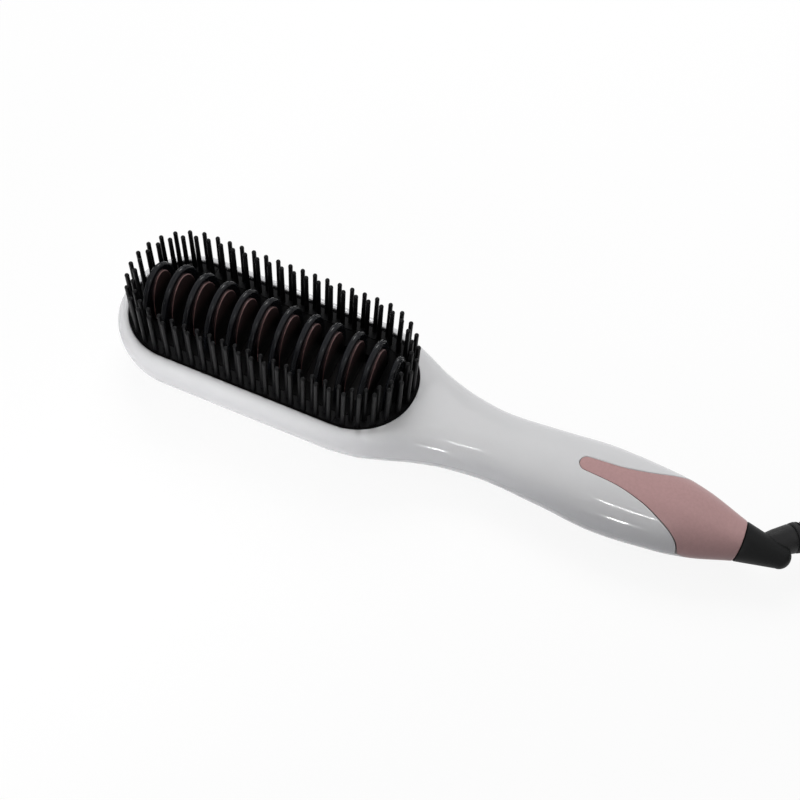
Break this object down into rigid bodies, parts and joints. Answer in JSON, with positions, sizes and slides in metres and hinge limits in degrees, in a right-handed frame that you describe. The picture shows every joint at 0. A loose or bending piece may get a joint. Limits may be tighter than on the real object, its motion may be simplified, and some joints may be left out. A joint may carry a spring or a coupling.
{
  "type": "hair straightening brush",
  "caption": "White heated paddle brush with black nylon pins, guarded heating fins, rose gold handle trim, buttons on the back and a mains cord on a swivel.",
  "frame": {"origin": "on the surface the brush lies on, under the middle of its length from head tip to cap nose", "axes": "+X from the head to the cord end, +Z from the back towards the bristle tips"},
  "size_m": [0.3856, 0.0928, 0.0458],
  "materials": {
    "white": "glossy white ABS",
    "rose": "satin dusty rose gold",
    "black": "fine matte black, heat resistant",
    "nylon": "satin black nylon",
    "fin": "brown ceramic coating with a rose gold edge",
    "steel": "plain steel",
    "ceramic": "unglazed ceramic",
    "board": "green circuit board",
    "window": "smoked clear window",
    "panel": "light grey plastic",
    "lead": "heat resistant insulation",
    "cord": "matte black flexible vinyl",
    "blade": "nickel plated brass"
  },
  "bodies": {
    "brush": {"front_shell": "white", "back_shell": "white", "handle_sleeve": "rose", "comb_base": "black", "swivel_socket": "black", "display_module": "black", "plus_switch": "black", "minus_switch": "black", "power_switch": "black", "guard_arch_01": "black", "guard_arch_02": "black", "guard_arch_03": "black", "guard_arch_04": "black", "guard_arch_05": "black", "guard_arch_06": "black", "guard_arch_07": "black", "guard_arch_08": "black", "guard_arch_09": "black", "guard_arch_10": "black", "guard_arch_11": "black", "guard_arch_12": "black", "pin_strip_right": "nylon", "pin_strip_left": "nylon", "pin_strip_tip": "nylon", "pin_strip_neck": "nylon", "heat_plate": "fin", "heating_fin_01": "fin", "heating_fin_02": "fin", "heating_fin_03": "fin", "heating_fin_04": "fin", "heating_fin_05": "fin", "heating_fin_06": "fin", "heating_fin_07": "fin", "heating_fin_08": "fin", "heating_fin_09": "fin", "heating_fin_10": "fin", "heating_fin_11": "fin", "heater_clamp": "steel", "thermal_fuse": "steel", "case_screw_left": "steel", "case_screw_right": "steel", "clamp_screw_tip": "steel", "clamp_screw_neck": "steel", "ceramic_heater": "ceramic", "circuit_board": "board", "display_window": "window", "control_panel": "panel", "heater_leads": "lead", "mains_leads": "lead"},
    "power_button": {"power_button": "white"},
    "plus_button": {"plus_button": "white"},
    "minus_button": {"minus_button": "white"},
    "cord_set": {"swivel_cap": "black", "strain_relief": "cord", "cord": "cord", "cord_coil": "cord", "cord_tie": "nylon", "plug_body": "cord", "plug_blade_left": "blade", "plug_blade_right": "blade"}
  },
  "joints": [
    {"name": "plus_press", "type": "slide", "parent": "brush", "child": "plus_button", "axis": [0, 0, 1], "range_m": [0, 0.0006], "stiffness_N_per_m": 600, "springref_m": -0.001},
    {"name": "minus_press", "type": "slide", "parent": "brush", "child": "minus_button", "axis": [0, 0, 1], "range_m": [0, 0.0006], "stiffness_N_per_m": 600, "springref_m": -0.001},
    {"name": "power_press", "type": "slide", "parent": "brush", "child": "power_button", "axis": [0, 0, 1], "range_m": [0, 0.0006], "stiffness_N_per_m": 600, "springref_m": -0.001},
    {"name": "cord_swivel", "type": "hinge", "parent": "brush", "child": "cord_set", "pos_m": [0.1139, 0, 0.0141], "axis": [1, 0, 0], "continuous": true}
  ]
}
